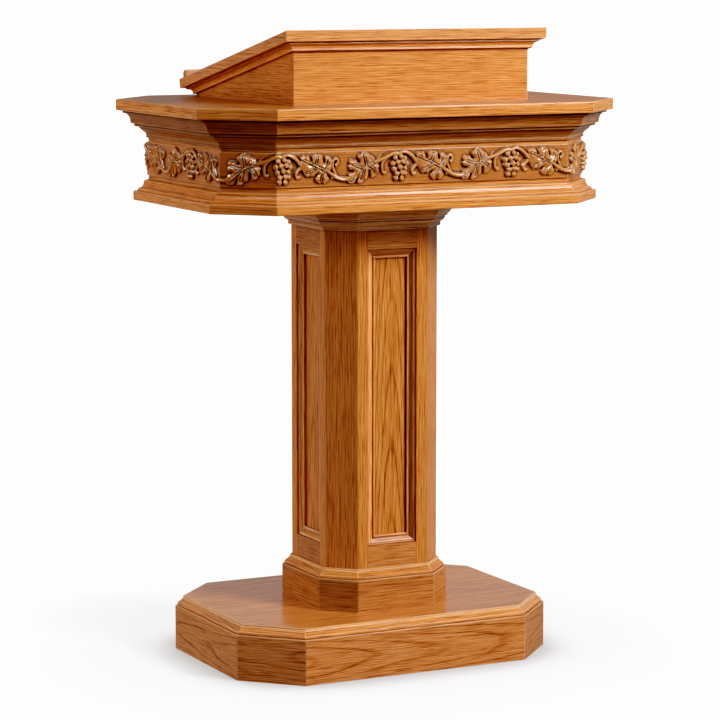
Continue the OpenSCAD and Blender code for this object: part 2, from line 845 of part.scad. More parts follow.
module rest_sides() {
    color(oak) box_side([1, 3]);
}

module rest_low_rail() {
    color(oak) box_side([2]);
}

module rest_moulding() {
    length = box_d / cos(slope);
    scribe = (cove_h + ease) * tan(slope) + ease;
    color(oak_light) difference() {
        at_slope() translate([0, length / 2, 0])
            mitred_ring([box_w, length], [0:3], cove_profile(scribe));
        translate([-box_w / 2, box_y0, z_desk - 1]) cube([box_w, box_d, z_high - z_desk]);
    }
}

// The reading board's high edge is cut plumb and its low edge square
module slanted_board() {
    high = (box_y0 - rest_y0) / cos(slope);
    low = slant_len - high - slant_t * tan(slope);
    r = edge_r * 0.7;
    color(oak) difference() {
        intersection() {
            at_slope() rotate([90, 0, 90]) linear_extrude(rest_w + 2, center = true) polygon(concat(
                [[-high, 0]],
                quarter([low - r, r], r, -90),
                quarter([low - r, slant_t - r], r, 0),
                [[-high - slant_t * tan(slope), slant_t]]
            ));
            at_slope() rotate([90, 0, 0]) linear_extrude(3 * slant_len, center = true) polygon(concat(
                quarter([rest_w / 2 - r, r], r, -90),
                quarter([rest_w / 2 - r, slant_t - r], r, 0),
                quarter([r - rest_w / 2, slant_t - r], r, 90),
                quarter([r - rest_w / 2, r], r, 180)
            ));
        }
        at_cleat_screws() screw_hole();
    }
}

// The book stop's outer top edge is rounded
module book_stop() {
    high = (box_y0 - rest_y0) / cos(slope);
    y1 = slant_len - high - slant_t * tan(slope) - stop_in;
    r = min(stop_h, stop_w) * 0.7;
    color(oak_light) at_slope() translate([0, 0, slant_t])
        rotate([90, 0, 90]) linear_extrude(rest_w, center = true) polygon(concat(
            [[y1 - stop_w, 0], [y1, 0]],
            quarter([y1 - r, stop_h - r], r, 0),
            [[y1 - stop_w + ease, stop_h], [y1 - stop_w, stop_h - ease]]
        ));
}

module rest_cleats() {
    color(inner_wood) difference() {
        at_cleats() translate([-block_t / 2, 0, 0]) cube([block_t, cleat_len, block_t]);
        at_cleat_screws() screw_hole();
    }
}

plinth_board(0);  // plinth_front_board
plinth_board(4);  // plinth_back_board
plinth_board(6);  // plinth_left_board
plinth_board(2);  // plinth_right_board
plinth_corner_boards();
plinth_glue_blocks();
base_board();
bearer();
column_plate(z_column);  // column_bottom_plate
column_plate(z_floor - plate_t);  // column_top_plate
column_corner_boards();
stiles(0);  // front_stiles
rails(0);  // front_rails
panel(0);  // front_panel
panel_moulding(0);  // front_panel_moulding
stiles(4);  // back_stiles
rails(4);  // back_rails
panel(4);  // back_panel
panel_moulding(4);  // back_panel_moulding
stiles(6);  // left_stiles
rails(6);  // left_rails
panel(6);  // left_panel
panel_moulding(6);  // left_panel_moulding
stiles(2);  // right_stiles
rails(2);  // right_rails
panel(2);  // right_panel
panel_moulding(2);  // right_panel_moulding
skirt_boards();
skirt_corner_boards();
skirt_cap();
crown_lower();
crown_upper();
tie_rod();
rod_nuts();
rod_washers();
desk_floor();
casing_board(0);  // casing_front
casing_board(4);  // casing_back
casing_board(6);  // casing_left
casing_board(2);  // casing_right
casing_corner_boards();
foot_moulding();
vine([0]);  // vine_front
vine([4]);  // vine_back
vine([6]);  // vine_left
vine([2]);  // vine_right
vine(cut_sides);  // vine_corners
lower_cornice();
upper_cornice();
top_board();
top_blocks();
wood_screws();
rest_front();
rest_sides();
rest_low_rail();
rest_cleats();
rest_moulding();
slanted_board();
book_stop();
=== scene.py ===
import math

import bpy
import numpy as np
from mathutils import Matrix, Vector


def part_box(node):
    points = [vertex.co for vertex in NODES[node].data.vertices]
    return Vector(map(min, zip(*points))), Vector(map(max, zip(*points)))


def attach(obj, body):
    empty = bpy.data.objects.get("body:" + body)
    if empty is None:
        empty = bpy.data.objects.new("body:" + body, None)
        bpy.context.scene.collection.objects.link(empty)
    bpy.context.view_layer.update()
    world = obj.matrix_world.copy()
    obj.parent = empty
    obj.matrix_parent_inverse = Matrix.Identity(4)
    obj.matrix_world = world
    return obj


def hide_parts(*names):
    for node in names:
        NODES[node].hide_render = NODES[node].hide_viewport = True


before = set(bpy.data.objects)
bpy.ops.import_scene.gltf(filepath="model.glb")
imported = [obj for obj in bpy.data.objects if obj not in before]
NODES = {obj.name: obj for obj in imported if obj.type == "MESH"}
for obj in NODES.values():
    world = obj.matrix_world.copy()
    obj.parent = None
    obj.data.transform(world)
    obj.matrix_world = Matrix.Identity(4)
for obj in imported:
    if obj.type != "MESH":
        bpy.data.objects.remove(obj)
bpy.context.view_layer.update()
scene = bpy.context.scene

MM = 0.001
SQRT_HALF = 0.70711
FOUR = ("front", "back", "left", "right")

# Plans in metres: half width, half depth, leg of the cut corners or None for a plain box, centre in y
BASE = (0.312, 0.229, 0.091, 0.022)
COLUMN = (0.113, 0.113, 0.043, 0.006)
DESK = (0.383, 0.257, 0.087, 0.0)
REST = (0.2305, 0.2074, None, 0.0239)
NO_CORNER = 9.0  # a corner plane so far out that no point passes it


# ---------------------------------------------------------------- node trees

class Tree:
    """Short calls that add shader nodes and join them. A value is a number, a colour or another node's socket."""

    def __init__(self, tree):
        self.tree = tree

    def add(self, kind, **settings):
        node = self.tree.nodes.new(kind)
        for key, value in settings.items():
            setattr(node, key, value)
        return node

    def put(self, socket, value):
        """Links or sets the socket. None leaves it as it is."""
        if isinstance(value, bpy.types.NodeSocket):
            self.tree.links.new(value, socket)
        elif value is not None:
            socket.default_value = value

    def fill(self, node, values):
        for key, value in values.items():
            self.put(node.inputs[key], value)

    def math(self, op, a, b=None, c=None, clamp=False):
        node = self.add("ShaderNodeMath", operation=op, use_clamp=clamp)
        for socket, value in zip(node.inputs, (a, b, c)):
            self.put(socket, value)
        return node.outputs[0]

    def dot(self, a, b):
        node = self.add("ShaderNodeVectorMath", operation="DOT_PRODUCT")
        self.put(node.inputs[0], a)
        self.put(node.inputs[1], b)
        return node.outputs["Value"]

    def step(self, value, lo, hi, smooth=True, to=(0.0, 1.0)):
        """Goes from to[0] to to[1] as the value goes from lo to hi, and no further."""
        node = self.add("ShaderNodeMapRange", interpolation_type="SMOOTHSTEP" if smooth else "LINEAR")
        for socket, number in zip(node.inputs, (value, lo, hi, *to)):
            self.put(socket, number)
        return node.outputs[0]

    def noise(self, vector, scale=1.0, detail=2.0, rough=0.5):
        node = self.add("ShaderNodeTexNoise")
        self.fill(node, {"Vector": vector, "Scale": scale, "Detail": detail, "Roughness": rough})
        return node.outputs["Fac"]

    def occlusion(self, distance, samples, normal=None):
        """1 where nothing stands within the distance, 0 where the surface is closed in."""
        node = self.add("ShaderNodeAmbientOcclusion", samples=samples)
        self.fill(node, {"Distance": distance, "Normal": normal})
        return node.outputs["AO"]

    def bevel(self, radius):
        """The surface's normal as if its edges were rounded."""
        node = self.add("ShaderNodeBevel", samples=4)
        self.fill(node, {"Radius": radius})
        return node.outputs[0]

    def join(self, x, y, z):
        node = self.add("ShaderNodeCombineXYZ")
        for socket, value in zip(node.inputs, (x, y, z)):
            self.put(socket, value)
        return node.outputs[0]

    def split(self, vector):
        node = self.add("ShaderNodeSeparateXYZ")
        self.put(node.inputs[0], vector)
        return node.outputs[0], node.outputs[1], node.outputs[2]

    def mix(self, fac, a, b, blend="MIX"):
        """Colour a where fac is 0, and b blended over it where fac is 1."""
        node = self.add("ShaderNodeMix", data_type="RGBA", blend_type=blend)
        self.put(node.inputs["Factor"], fac)
        self.put(node.inputs[6], a)
        self.put(node.inputs[7], b)
        return node.outputs[2]

    def times(self, a, b):
        return self.mix(1.0, a, b, "MULTIPLY")

    def pick(self, fac, a, b):
        """Number a where fac is 0, and b where it is 1."""
        node = self.add("ShaderNodeMix", data_type="FLOAT")
        self.put(node.inputs["Factor"], fac)
        self.put(node.inputs[2], a)
        self.put(node.inputs[3], b)
        return node.outputs[0]

    def ramp(self, fac, stops):
        node = self.add("ShaderNodeValToRGB")
        self.put(node.inputs[0], fac)
        ramp = node.color_ramp
        while len(ramp.elements) < len(stops):
            ramp.elements.new(0.5)
        for element, (place, colour) in zip(ramp.elements, stops):
            element.position = place
            element.color = (*colour, 1.0)
        return node.outputs[0]


def floats(*labels):
    return [("NodeSocketFloat", label) for label in labels]


def group(name, inputs, outputs):
    """A new node group, calls for its tree, the sockets that it reads and the sockets that it fills."""
    tree = bpy.data.node_groups.new(name, "ShaderNodeTree")
    for kind, label in inputs:
        tree.interface.new_socket(label, in_out="INPUT", socket_type=kind)
    for kind, label in outputs:
        tree.interface.new_socket(label, in_out="OUTPUT", socket_type=kind)
    t = Tree(tree)
    return tree, t, t.add("NodeGroupInput").outputs, t.add("NodeGroupOutput").inputs


def new_material(name):
    """A new material, calls for its tree, and its shader."""
    mat = bpy.data.materials.new(name)
    mat.use_nodes = True
    return mat, Tree(mat.node_tree), mat.node_tree.nodes["Principled BSDF"]


# ---------------------------------------------------------------- oak

# From the darkest pore to the palest fibre under varnish
OAK_STOPS = (
    (0.00, (0.150, 0.034, 0.0070)), (0.25, (0.330, 0.090, 0.0200)), (0.45, (0.490, 0.152, 0.0390)),
    (0.65, (0.610, 0.208, 0.0590)), (0.85, (0.720, 0.272, 0.0850)), (1.00, (0.800, 0.330, 0.1150)),
)
# Colours of the painted highlights on edges, of the carving's own tone, of the painted highlights on its ridges, and
# of pine
EDGE_HIGHLIGHT_COLOUR = (1.0, 0.60, 0.33, 1.0)
CARVED_COLOUR = (0.48, 0.155, 0.040, 1.0)
RIDGE_HIGHLIGHT_COLOUR = (1.0, 0.46, 0.17, 1.0)
PINE_COLOUR = (0.62, 0.44, 0.24, 1.0)
CORNER_ARRIS = (-0.383, -0.924, 0.0)  # direction of the arrises between the front and its left cut corner
TURN_RANGE = (0.34, 1.6)  # least and most that a material's turn, painted light and shade by facing, multiplies its colour by
ROUNDING, HIGHLIGHT_RADIUS = 0.0014, 0.0026  # radii to which the arrises are rounded, and within which their painted highlights lie
CLOSE, CLOSE_CARVED = 0.008, 0.006  # reach of the painted shade in corners
SAMPLES = 6  # rays of each shading of a corner


def make_plan_group():
    """Gives each side of an eight-sided plan its own board coordinates: along the side, up, and outward."""
    tree, t, inp, out = group(
        "plan_sides",
        [("NodeSocketVector", "Point")] + floats("Half width", "Half depth", "Corner", "Centre"),
        floats("Along", "Up", "Out", "Side"),
    )
    x, y, z = t.split(inp["Point"])
    y = t.math("SUBTRACT", y, inp["Centre"])
    ax, ay = t.math("ABSOLUTE", x), t.math("ABSOLUTE", y)
    # how far the point lies outside the plan's sides in x, in y, and at the cut corners
    sx = t.math("SUBTRACT", ax, inp["Half width"])
    sy = t.math("SUBTRACT", ay, inp["Half depth"])
    sc = t.math("SUBTRACT", t.math("MULTIPLY", t.math("ADD", ax, ay), SQRT_HALF), inp["Corner"])
    is_c = t.math("GREATER_THAN", sc, t.math("MAXIMUM", sx, sy))
    is_x = t.math("GREATER_THAN", sx, sy)
    diagonal = t.math("MULTIPLY", t.math("SUBTRACT", ax, ay), SQRT_HALF)
    along = t.pick(is_c, t.pick(is_x, x, y), diagonal)
    outward = t.pick(is_c, t.pick(is_x, sy, sx), sc)
    # a number of its own for each of the eight sides, so that their figures differ
    gx, gy = t.math("SIGN", x), t.math("SIGN", y)
    straight = t.pick(is_x, t.math("MULTIPLY", gy, 2.33), t.math("MULTIPLY", gx, 1.79))
    corner = t.math("ADD", t.math("MULTIPLY_ADD", gx, 1.11, 3.7), t.math("MULTIPLY", gy, 0.53))
    for name, value in (("Along", along), ("Up", z), ("Out", outward), ("Side", t.pick(is_c, straight, corner))):
        t.put(out[name], value)
    return tree


def make_oak_group():
    """Oak figure from growth rings cut by the board: bands, fibre streaks, dark pores and slow changes of tone."""
    tree, t, inp, out = group(
        "oak_figure",
        floats("Along", "Across", "Deep", "Seed", "Pith across", "Pith deep", "Taper", "Ring", "Ring depth"),
        [("NodeSocketColor", "Color")] + floats("Roughness", "Height"),
    )
    # the seed takes the noise from another part of the tree
    u = t.math("MULTIPLY_ADD", inp["Seed"], 1.37, inp["Along"])
    v, w = inp["Across"], inp["Deep"]
    straight = t.math("MULTIPLY_ADD", inp["Seed"], 0.71, v)

    def field(across, per_along, per_across, detail=2.0, rough=0.5):
        """Noise drawn out along the grain, with so many changes a metre along it and across it."""
        vec = t.join(t.math("MULTIPLY", u, per_along), t.math("MULTIPLY", across, per_across),
                     t.math("MULTIPLY", w, per_across))
        return t.noise(vec, 1.0, detail, rough)

    def swing(*settings):
        return t.math("SUBTRACT", field(*settings), 0.5)

    # distance from the pith, and from it the ring: its number, and the place within it from 0 to 1
    slow = swing(straight, 1.7, 7.0)
    waver = swing(straight, 9.0, 45.0)
    dv = t.math("SUBTRACT", v, inp["Pith across"])
    dw = t.math("SUBTRACT", w, inp["Pith deep"])
    r = t.math("SQRT", t.math("ADD", t.math("MULTIPLY", dv, dv), t.math("MULTIPLY", dw, dw)))
    r = t.math("MULTIPLY_ADD", t.math("ADD", inp["Along"], t.math("MULTIPLY", inp["Seed"], 0.1)), inp["Taper"], r)
    r = t.math("MULTIPLY_ADD", slow, 0.018, r)
    r = t.math("MULTIPLY_ADD", waver, 0.0024, r)
    ring = t.math("DIVIDE", r, inp["Ring"])
    phase = t.math("FRACT", ring)
    number = t.math("FLOOR", ring)

    # early wood, the dark and porous part of a ring: more or less of it each year, and fainter where the ring only
    # grazes the board
    lot = t.add("ShaderNodeTexWhiteNoise", noise_dimensions="1D")
    t.put(lot.inputs["W"], t.math("ADD", number, inp["Seed"]))
    vigour = t.math("MULTIPLY_ADD", lot.outputs["Value"], 0.55, 0.55)
    early = t.math("MULTIPLY", t.math("SUBTRACT", 1.0, t.step(phase, 0.08, 0.30)), vigour)
    early = t.math("MULTIPLY", early, t.step(phase, 0.0, 0.08))
    slope = t.math("DIVIDE", t.math("ABSOLUTE", dv), r)
    early = t.math("MULTIPLY", early, t.step(slope, 0.02, 0.25, to=(0.5, 1.0)))

    # fibres, which bend a little
    bent = t.math("MULTIPLY_ADD", swing(straight, 3.5, 18.0, 1.0), 0.005, straight)
    fibre = swing(bent, 7.0, 640.0, 2.0, 0.7)
    fine = swing(bent, 20.0, 1200.0, 2.0, 0.7)
    broad = swing(bent, 1.1, 22.0, 2.0, 0.5)
    lines = t.step(field(bent, 6.0, 560.0, 2.0, 0.6), 0.56, 0.61)
    dashes = t.step(field(bent, 19.0, 760.0, 1.0, 0.5), 0.57, 0.63)
    pores = t.step(field(bent, 26.0, 900.0, 1.0, 0.5), 0.55, 0.68)
    pores = t.math("MULTIPLY", pores, t.math("MULTIPLY_ADD", early, 0.8, 0.3))

    tone = 0.765
    for layer, strength in ((fibre, 1.0), (fine, 1.2), (broad, 0.20), (lines, -0.22), (early, inp["Ring depth"]),
                            (dashes, -0.36)):
        tone = t.math("MULTIPLY_ADD", layer, strength, tone)
    tone = t.math("MULTIPLY_ADD", pores, -0.30, tone, clamp=True)
    t.put(out["Color"], t.ramp(tone, OAK_STOPS))
    t.put(out["Roughness"], t.math("MULTIPLY_ADD", t.math("ADD", fibre, pores), 0.12, 0.36))
    height = t.math("MULTIPLY_ADD", pores, -1.0, t.math("MULTIPLY", fibre, 0.8))
    t.put(out["Height"], t.math("MULTIPLY_ADD", early, -0.25, height))
    return tree


PLAN_GROUP = make_plan_group()
OAK_GROUP = make_oak_group()


def rgba(tone):
    return (*tone, 1.0) if isinstance(tone, tuple) else (tone, tone, tone, 1.0)


def board_axes(t, point, plan, grain, flat_top):
    """Coordinates along the grain, across it and into the board, and the number of the plan's side."""
    x, y, z = t.split(point)
    sides = t.add("ShaderNodeGroup", node_tree=PLAN_GROUP)
    half_width, half_depth, leg, centre = plan
    corner = NO_CORNER if leg is None else (half_width + half_depth - leg) * SQRT_HALF
    t.fill(sides, {"Point": point, "Half width": half_width, "Half depth": half_depth, "Corner": corner,
                   "Centre": centre})
    along, up, outward, side = (sides.outputs[k] for k in ("Along", "Up", "Out", "Side"))
    if grain == "up":
        u, v, w = up, along, outward
    elif grain == "x":
        u, v, w, side = x, y, z, 0.0
    elif isinstance(grain, tuple):
        half, middle, rise = grain
        above = t.math("SUBTRACT", t.math("ABSOLUTE", t.math("SUBTRACT", up, middle)), rise)
        beside = t.math("SUBTRACT", t.math("ABSOLUTE", along), half)
        level = t.math("GREATER_THAN", above, beside)
        u, v, w = t.pick(level, up, along), t.pick(level, along, up), outward
    else:
        u, v, w = along, up, outward
    if flat_top:
        normal = t.add("ShaderNodeNewGeometry").outputs["Normal"]
        level = t.math("GREATER_THAN", t.math("ABSOLUTE", t.split(normal)[2]), 0.8)
        u, v, w = t.pick(level, u, x), t.pick(level, v, y), t.pick(level, w, z)
        side = t.pick(level, side, 0.0)
    return u, v, w, side


def oak(name, plan=BASE, grain="side", seed=0.0, pith=(0.22, -0.05), taper=0.01, ring=0.0052, depth=0.26,
        flat_top=False, tone=1.0, left=1.0, turn=None, carved=False, hollow=0.0, reach=0.03, arris=1.0, coat=0.4):
    """A stained and varnished oak. Lengths are in metres.

    plan      the octagon or box that the boards stand round
    grain     side (along each side of the plan), up, x, or the half width, middle height and half height of a frame
              whose four lengths it follows; flat_top lays it along x on level faces
    pith      the tree's heart, across the board and behind it; taper tilts it, ring is a year's growth, and depth
              is how dark the rings are
    tone      the stain, a number or a colour; left multiplies it on faces that look to -x as painted light and
          shade on that side, and turn is how much painted light it adds to faces that look to +x and up, and
          how much painted shade to those that look the other way
    carved    the carving's own stain, with painted shade in its hollows and painted highlights on its ridges, from the mesh's cavity attribute
    hollow    how much painted shade darkens coves, as far as reach from the next surface
    arris     how strong the painted highlights on the edges are
    coat      weight of the varnish"""
    mat, t, shader = new_material(name)
    point = t.add("ShaderNodeTexCoord").outputs["Object"]
    u, v, w, side = board_axes(t, point, plan, grain, flat_top)
    figure = t.add("ShaderNodeGroup", node_tree=OAK_GROUP)
    t.fill(figure, {"Along": u, "Across": v, "Deep": w, "Seed": t.math("ADD", side, seed), "Pith across": pith[0],
                    "Pith deep": pith[1], "Taper": taper, "Ring": ring, "Ring depth": -depth})

    # painted highlights on the edges, stronger where they look up: none at CORNER_ARRIS unless they look up
    rounded, highlight_normal = t.bevel(ROUNDING), t.bevel(HIGHLIGHT_RADIUS)
    normal = t.add("ShaderNodeNewGeometry").outputs["Normal"]
    edge = t.step(t.dot(highlight_normal, normal), 0.997, 0.94)
    turned = t.step(t.dot(highlight_normal, CORNER_ARRIS), 0.90, 0.80)
    highlight_weight = t.step(t.split(highlight_normal)[2], 0.10, 0.45, to=(0.5, 0.85))
    highlight_weight = t.math("MULTIPLY", t.math("MULTIPLY", highlight_weight, arris), t.math("MAXIMUM", turned, t.step(highlight_weight, 0.55, 0.8)))

    # painted shade where surfaces stand close, in corners, coves and under overhangs; the normal is tipped up so
    # that what stands above counts more
    lifted = t.add("ShaderNodeVectorMath", operation="ADD")
    t.put(lifted.inputs[0], normal)
    t.put(lifted.inputs[1], (0.0, 0.0, 0.0 if carved else 0.65))
    near = t.occlusion(CLOSE_CARVED if carved else CLOSE, SAMPLES, lifted.outputs[0])
    closed, open_ = (0.45, 0.92) if carved else (0.16, 0.62)
    darkest = 0.04 if carved or reach < 0.02 else 0.25
    shade = t.step(near, closed, open_, smooth=False, to=(darkest, 1.0))
    # painted shade in the carving's hollows, from the mesh's cavity attribute
    if carved:
        cavity = t.add("ShaderNodeAttribute", attribute_name="cavity").outputs["Fac"]
        shade = t.math("MULTIPLY", shade, t.step(cavity, 0.0, 0.85, smooth=False, to=(1.0, 0.05)))
    # painted shade in coves, as far as reach from the next surface
    if hollow:
        wide = t.occlusion(reach, SAMPLES, lifted.outputs[0])
        shade = t.math("MINIMUM", shade, t.step(wide, 0.35, 0.85, smooth=False, to=(1.0 - hollow, 1.0)))

    colour = figure.outputs["Color"]
    # the carving's own tone, then painted highlights on its ridges
    if carved:
        colour = t.mix(0.5, colour, CARVED_COLOUR)
        colour = t.mix(t.step(cavity, 0.05, -0.8, smooth=False, to=(0.0, 0.42)), colour, RIDGE_HIGHLIGHT_COLOUR)
    # the painted shade darkens the colour, blue the most
    colour = t.times(colour, t.join(shade, t.math("POWER", shade, 1.07), t.math("POWER", shade, 1.12)))
    # painted highlights on the edges, none deep in corners
    edge = t.math("MULTIPLY", edge, t.step(near, 0.40, 0.62))
    colour = t.mix(t.math("MULTIPLY", edge, highlight_weight), colour, EDGE_HIGHLIGHT_COLOUR)
    if tone != 1.0:
        colour = t.times(colour, rgba(tone))
    # painted light and shade on faces that look to -x
    if left != 1.0:
        faces = t.math("LESS_THAN", t.split(normal)[0], -0.5)
        colour = t.mix(faces, colour, t.times(colour, rgba(left)))
    # painted light and shade by how the face is turned
    if turn:
        nx, _, nz = t.split(normal)
        gain = t.math("MULTIPLY_ADD", nz, turn[1], t.math("MULTIPLY_ADD", nx, turn[0], 1.0))
        gain = t.math("MINIMUM", t.math("MAXIMUM", gain, TURN_RANGE[0]), TURN_RANGE[1])
        colour = t.times(colour, t.join(gain, gain, gain))

    bump = t.add("ShaderNodeBump")
    t.fill(bump, {"Strength": 0.28, "Distance": 0.0004, "Height": figure.outputs["Height"], "Normal": rounded})
    t.fill(shader, {"Base Color": colour, "Roughness": figure.outputs["Roughness"], "Normal": bump.outputs[0],
                    "Specular IOR Level": 0.1, "Coat Weight": coat, "Coat Roughness": 0.12 if carved else 0.2})
    return mat


def softwood(name, grain):
    """The oak's figure under a pale colour, and no varnish."""
    mat = oak(name, grain=grain, seed=5.0, ring=0.008, coat=0.0)
    shader = mat.node_tree.nodes["Principled BSDF"]
    t = Tree(mat.node_tree)
    colour = shader.inputs["Base Color"].links[0].from_socket
    t.put(shader.inputs["Base Color"], t.mix(0.7, colour, PINE_COLOUR))
    return mat


def zinc(name):
    mat, t, shader = new_material(name)
    spangle = t.noise(t.add("ShaderNodeTexCoord").outputs["Object"], 240.0, 3.0, 0.6)
    t.fill(shader, {"Base Color": t.ramp(spangle, ((0.2, (0.42, 0.43, 0.45)), (0.8, (0.62, 0.63, 0.64)))),
                    "Roughness": t.step(spangle, 0.2, 0.8, to=(0.28, 0.5)), "Metallic": 1.0})
    return mat


def clothe(name, mat):
    NODES[name].data.materials.clear()
    NODES[name].data.materials.append(mat)


def dress(names, **settings):
    """Gives each node an oak of its own, seeded by its place in the list and the length of its name."""
    for i, name in enumerate(names):
        clothe(name, oak("oak_" + name, seed=0.917 * (i + 1) + 0.13 * len(name), **settings))


LEVEL = dict(flat_top=True, pith=(0.3, -0.3))

# In the calls below, left paints light and shade on faces that look to -x, and turn paints light and shade by how
# faces are turned
# base
dress([f"plinth_{s}_board" for s in FOUR], pith=(0.04, -0.056), taper=0.038, ring=0.0062, depth=0.46,
      tone=(0.95, 0.96, 1.2), left=(0.93, 0.93, 0.8))
dress(["plinth_corner_boards"], pith=(0.05, -0.04), taper=0.04, ring=0.0062, depth=0.34, tone=0.80,
      left=(1.2, 1.28, 1.75), coat=0.25)
dress(["base_board"], ring=0.006, coat=1.0, tone=1.12, **LEVEL)

# column
dress(["column_corner_boards"], plan=COLUMN, grain="up", pith=(0.16, -0.06), left=0.85, tone=0.95)
dress([s + "_stiles" for s in FOUR], plan=COLUMN, grain="up", pith=(0.2, -0.05), tone=0.92, arris=0.0)
dress([s + "_rails" for s in FOUR], plan=COLUMN, pith=(0.1, -0.05), tone=(0.84, 0.89, 1.05), left=0.77, arris=0.0)
dress([s + "_panel" for s in FOUR], plan=COLUMN, grain="up", pith=(0.004, -0.035), taper=0.045, ring=0.0066,
      depth=0.5, tone=0.88)
(frame_x0, _, frame_z0), (frame_x1, _, frame_z1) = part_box("front_panel_moulding")
FRAME = ((frame_x1 - frame_x0) / 2, (frame_z0 + frame_z1) / 2, (frame_z1 - frame_z0) / 2)
FRAMED = dict(plan=COLUMN, grain=FRAME, pith=(0.2, -0.05), hollow=0.6, reach=0.012, coat=0.2)
dress([s + "_panel_moulding" for s in FOUR[1:]], tone=(0.95, 1.1, 1.4), **FRAMED)
dress(["front_panel_moulding"], tone=(0.94, 1.0, 1.25), arris=0.4, turn=(1.7, 0.6), **FRAMED)
dress(["skirt_boards"], plan=COLUMN, tone=(0.725, 0.76, 0.89), left=(0.9, 0.9, 0.82))
dress(["skirt_corner_boards"], plan=COLUMN, tone=0.8, left=(0.63, 0.74, 0.9))
dress(["skirt_cap"], plan=COLUMN, hollow=0.35)
dress(["crown_lower", "crown_upper"], plan=COLUMN, hollow=0.35, tone=(1.32, 1.75, 2.6), left=(0.74, 0.65, 0.62))

# desk
# painted light and shade on the coved mouldings' faces that look to -x
COVED_LEFT = (1.02, 0.92, 0.70)
dress(["desk_floor"], plan=DESK, **LEVEL)
dress([f"casing_{s}" for s in FOUR] + ["casing_corner_boards"], plan=DESK, hollow=0.7, reach=0.014)
dress(["foot_moulding"], plan=DESK, hollow=0.3, left=COVED_LEFT)
dress(["lower_cornice", "upper_cornice"], plan=DESK, hollow=0.76, tone=(0.66, 0.69, 0.75), left=COVED_LEFT)
dress(["top_board"], plan=DESK, coat=0.35, **LEVEL)

# book rest
REST_OAK = dict(plan=REST, ring=0.0044)
dress(["rest_front"], tone=0.93, hollow=0.9, reach=0.005, **REST_OAK)
dress(["rest_low_rail"], tone=0.93, **REST_OAK)
dress(["rest_moulding"], tone=0.9, coat=0.1, **REST_OAK)
dress(["rest_sides"], tone=0.81, coat=0.1, **REST_OAK)
dress(["slanted_board"], tone=(1.04, 1.11, 1.25), left=(0.92, 0.88, 0.78), coat=0.8, **REST_OAK, **LEVEL)
dress(["book_stop"], tone=0.75, coat=0.1, **REST_OAK, **LEVEL)

# solid vines, which the carving below stands for
dress([f"vine_{s}" for s in FOUR] + ["vine_corners"], plan=DESK, coat=1.0, tone=0.7)

# inside
for name in ("plinth_glue_blocks", "column_bottom_plate", "column_top_plate", "top_blocks", "bearer", "rest_cleats"):
    clothe(name, softwood("pine_" + name, "up" if "glue" in name else "x"))
for name in ("tie_rod", "rod_nuts", "rod_washers", "wood_screws"):
    clothe(name, zinc("zinc_" + name))


# ---------------------------------------------------------------- carved vine
# Millimetres on a strip round the desk: s runs to the right from the front's left corner, z up from the panel's
# bottom edge, and the relief stands out from the panel's ground.

# Outlines of the two kinds of leaf, their veins, and the grapes of a bunch with their radii
LEAF_A = ((22, -7), (28, -5), (31, 2), (30, 8), (31, 13), (28, 18), (22, 21), (18, 20.5), (16, 17),
          (16.6, 10), (14.6, 10), (13.4, 17), (13, 21), (8, 24), (3, 23.6), (-1, 25), (-5.5, 23), (-7.6, 19),
          (-7.4, 12.6), (-9.4, 12.4), (-11.5, 19), (-15, 23), (-20, 22), (-25, 23), (-30, 19), (-28.6, 13.5),
          (-30.4, 9), (-27.4, 4), (-28.4, 0), (-24, -6), (-21, -10), (-16.5, -14.5), (-11.5, -13), (-7, -14),
          (-2.4, -11.4), (2.8, -9.4), (1.4, -13), (-1.6, -17), (0.4, -23), (6.4, -25.6), (11, -24), (16, -26),
          (22.4, -22), (25, -17), (22.6, -12))
VEINS_A = (((20, -6), (0, 4.5), (-23, 15)), ((-1, 5), (3, 19)), ((17, -4), (23, 8), (24, 16)),
           ((18, -5), (12, -13), (9, -21)), ((4, 2.4), (-8, -4), (-18, -7)))
LEAF_B = ((22, 9), (20.5, 16), (16, 20), (13, 21), (8, 25.4), (2, 26), (-2, 28), (-6.4, 24), (-10.4, 21),
          (-11, 16), (-7, 11.4), (-6.8, 8.4), (-10, 8.6), (-14, 13.6), (-19, 13.4), (-24, 15), (-28, 10.4),
          (-27, 5.5), (-29, 1.4), (-26, -4), (-21, -5), (-18.6, -6.6), (-24, -7.6), (-28.4, -11),
          (-29.6, -16), (-32, -20), (-29, -26), (-22, -27), (-17, -25.4), (-12.4, -17.6), (-10.8, -18),
          (-12.6, -26), (-7, -28), (-1.6, -25), (1, -21.4), (6, -20), (9.4, -13), (10, -6.4), (12, -6.6),
          (13, -13), (14.6, -18), (21, -17), (25, -12), (29, -8), (29, -3), (30.6, 2), (27, 6.6))
VEINS_B = (((21, 8), (4, 1), (-12, -11), (-25, -22)), ((4, 1), (-8, 0.6), (-20, 5)),
           ((4, 1.4), (3.6, 10), (0, 22)), ((0, -2), (-1, -10), (-4, -20)), ((10, 3), (19, -3), (22, -10)),
           ((7, 4), (13, 13)))
GRAPES = ((-7.5, 46, 5.4), (3.5, 47.6, 5.0), (11, 45, 4.8), (-12, 36, 5.4), (-2.5, 38, 5.4), (7, 38.6, 5.4),
          (14.4, 35.6, 4.8), (-9, 26.4, 5.4), (1.2, 29.4, 5.6), (10.6, 27.4, 5.2), (-4.6, 18.6, 5.4),
          (5.2, 19.8, 5.4), (11.6, 18.6, 4.4), (-5.6, 10.4, 4.8), (4.6, 10.6, 5.2))
# Places of the bunches on the strip, the strip's length, and the carving's greatest height
CLUSTERS = (11, 231, 451, 672, 884, 1096, 1309, 1523, 1741, 1963)
ROUND = 2180.4
RELIEF = 7.6

